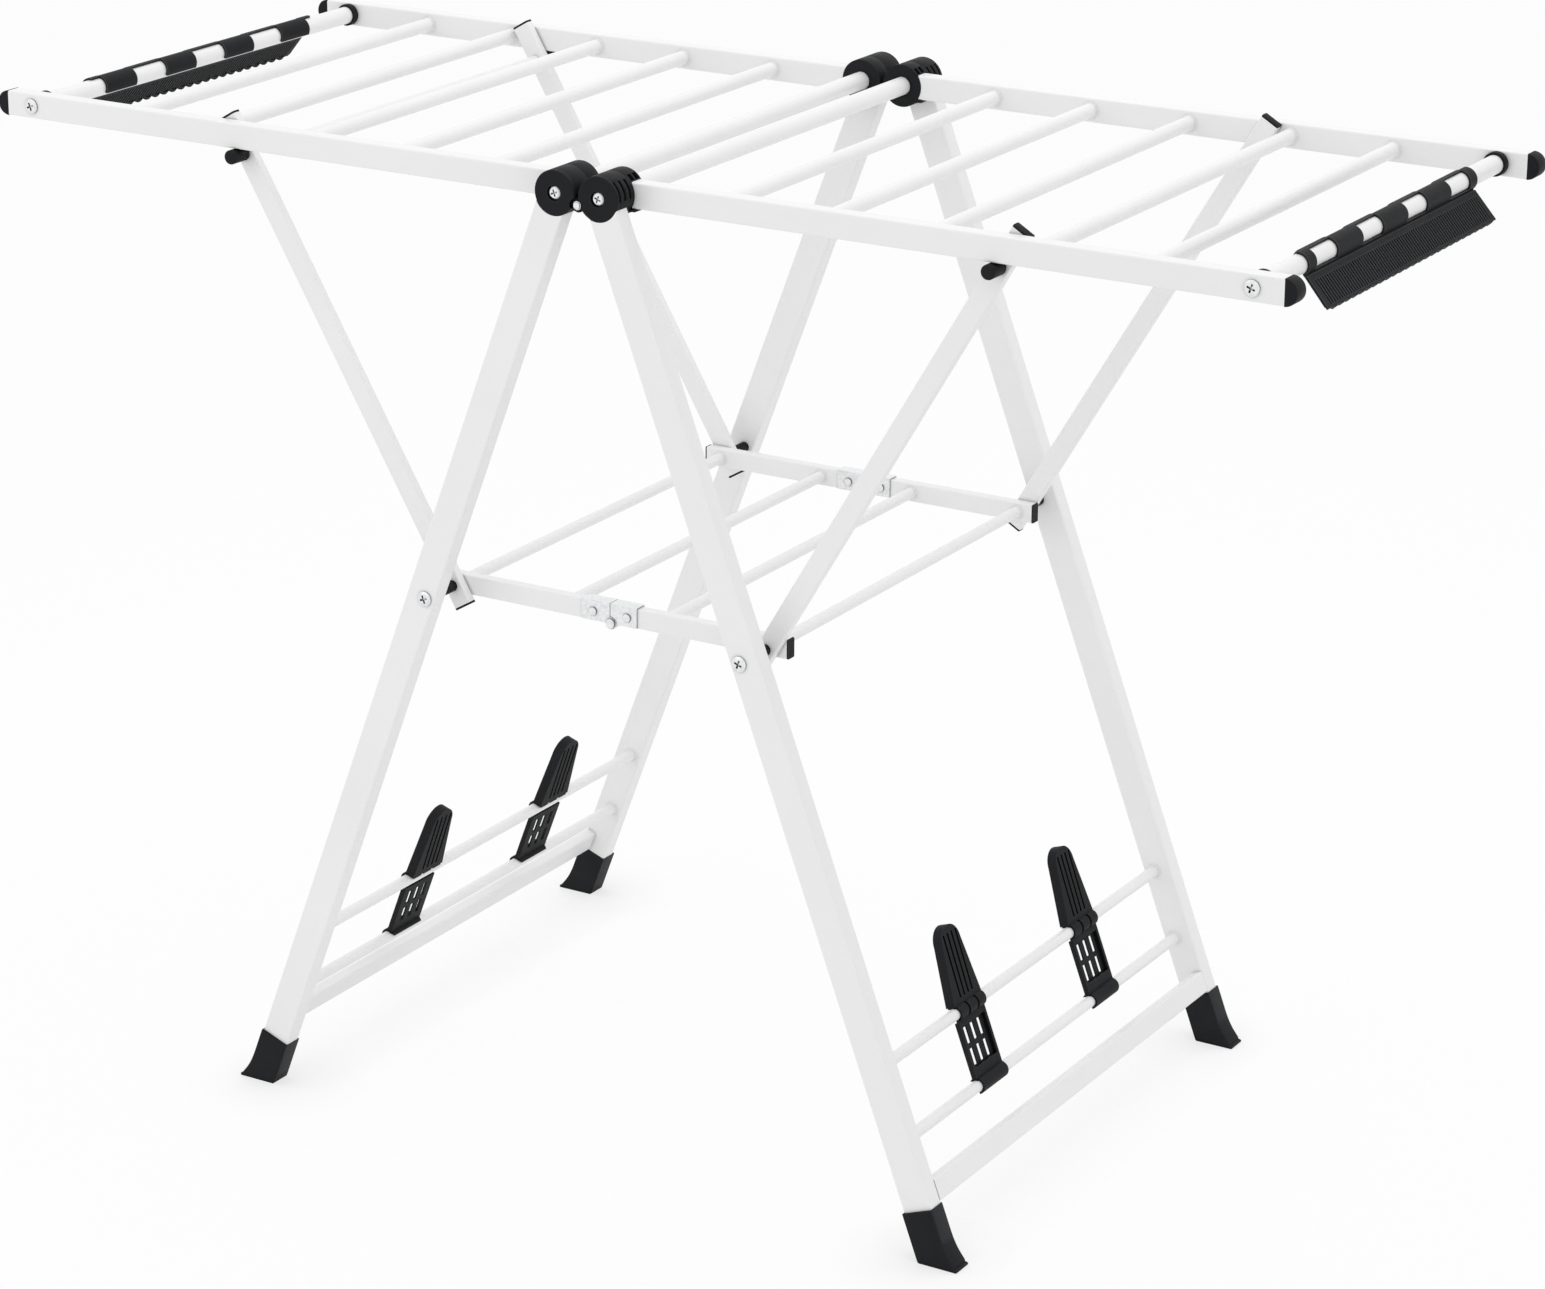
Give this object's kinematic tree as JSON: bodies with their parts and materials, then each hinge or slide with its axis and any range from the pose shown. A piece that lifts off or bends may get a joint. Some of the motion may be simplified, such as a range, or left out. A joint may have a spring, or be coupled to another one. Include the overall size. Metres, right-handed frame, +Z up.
{
  "type": "folding clothes drying rack",
  "caption": "Folding gull-wing clothes drying rack of white steel tube with black plastic hinges, boots, shoe hooks and comb clips, and a shelf that folds in the middle.",
  "frame": {"origin": "on the floor, under the middle of the rack", "axes": "+X along the wings towards the right wing, +Y from the near end to the far end, +Z up"},
  "size_m": [1.453, 0.6374, 1.0293],
  "materials": {
    "white_paint": "satin powder coat",
    "black_plastic": "fine moulded",
    "zinc": "bright zinc plate"
  },
  "bodies": {
    "left_leg_frame": {"legs_left": "white_paint", "leg_rungs_left": "white_paint", "crossbar_left": "white_paint", "feet_left": "black_plastic", "leg_sockets_left": "black_plastic", "hinge_discs_left": "black_plastic", "hinge_screws_left": "zinc", "spacers_left": "black_plastic", "pivot_bolts_left": "zinc", "shoe_hooks_left": "black_plastic", "hinge_rivets": "zinc"},
    "right_leg_frame": {"legs_right": "white_paint", "leg_rungs_right": "white_paint", "crossbar_right": "white_paint", "feet_right": "black_plastic", "leg_sockets_right": "black_plastic", "hinge_discs_right": "black_plastic", "hinge_screws_right": "zinc", "spacers_right": "black_plastic", "pivot_bolts_right": "zinc", "shoe_hooks_right": "black_plastic"},
    "left_wing": {"rail_sockets_left": "black_plastic", "cross_tube_left": "white_paint", "rail_left_near": "white_paint", "rail_left_far": "white_paint", "wing_rungs_left": "white_paint", "end_bar_left": "white_paint", "collars_left": "black_plastic", "end_caps_left": "black_plastic", "end_screws_left": "zinc", "comb_clip_left": "black_plastic"},
    "right_wing": {"rail_sockets_right": "black_plastic", "cross_tube_right": "white_paint", "rail_right_near": "white_paint", "rail_right_far": "white_paint", "wing_rungs_right": "white_paint", "end_bar_right": "white_paint", "collars_right": "black_plastic", "end_caps_right": "black_plastic", "end_screws_right": "zinc", "comb_clip_right": "black_plastic"},
    "left_struts": {"struts_left": "white_paint", "strut_plugs_left": "black_plastic", "cross_rod_left": "white_paint", "rod_caps_left": "black_plastic"},
    "right_struts": {"struts_right": "white_paint", "strut_plugs_right": "black_plastic", "cross_rod_right": "white_paint", "rod_caps_right": "black_plastic"},
    "shelf_left": {"shelf_rails_left": "white_paint", "shelf_rungs_left": "white_paint", "shelf_plugs_left": "black_plastic", "bracket_left": "zinc", "bracket_rivets_left": "zinc", "shelf_pivots": "zinc"},
    "shelf_right": {"shelf_rails_right": "white_paint", "shelf_rungs_right": "white_paint", "shelf_plugs_right": "black_plastic", "bracket_right": "zinc", "bracket_rivets_right": "zinc"}
  },
  "joints": [
    {"name": "leg_fold", "type": "hinge", "parent": "left_leg_frame", "child": "right_leg_frame", "pos_m": [0, 0, 0.9975], "axis": [0, 1, 0], "range_deg": [0, 38]},
    {"name": "left_strut_swing", "type": "hinge", "parent": "left_leg_frame", "child": "left_struts", "pos_m": [-0.182, 0, 0.575], "axis": [0, -1, 0], "range_deg": [0, 126]},
    {"name": "right_strut_swing", "type": "hinge", "parent": "right_leg_frame", "child": "right_struts", "pos_m": [0.182, 0, 0.575], "axis": [0, 1, 0], "range_deg": [0, 126]},
    {"name": "left_wing_fold", "type": "hinge", "parent": "left_leg_frame", "child": "left_wing", "pos_m": [-0.0244, 0, 1.007], "axis": [0, -1, 0], "range_deg": [0, 63]},
    {"name": "right_wing_fold", "type": "hinge", "parent": "right_leg_frame", "child": "right_wing", "pos_m": [0.0244, 0, 1.007], "axis": [0, 1, 0], "range_deg": [0, 63]},
    {"name": "shelf_left_fold", "type": "hinge", "parent": "left_leg_frame", "child": "shelf_left", "pos_m": [-0.182, 0, 0.575], "axis": [0, -1, 0], "range_deg": [0, 62.96]},
    {"name": "shelf_middle_fold", "type": "hinge", "parent": "shelf_left", "child": "shelf_right", "pos_m": [0, 0, 0.566], "axis": [0, 1, 0], "range_deg": [0, 163.86]}
  ],
  "couplings": [
    {"joint": "left_wing_fold", "follows": "left_strut_swing", "ratio": 0.5},
    {"joint": "right_wing_fold", "follows": "right_strut_swing", "ratio": 0.5},
    {"joint": "shelf_left_fold", "follows": "leg_fold", "ratio": 1.6555},
    {"joint": "shelf_middle_fold", "follows": "leg_fold", "ratio": 4.3109}
  ]
}
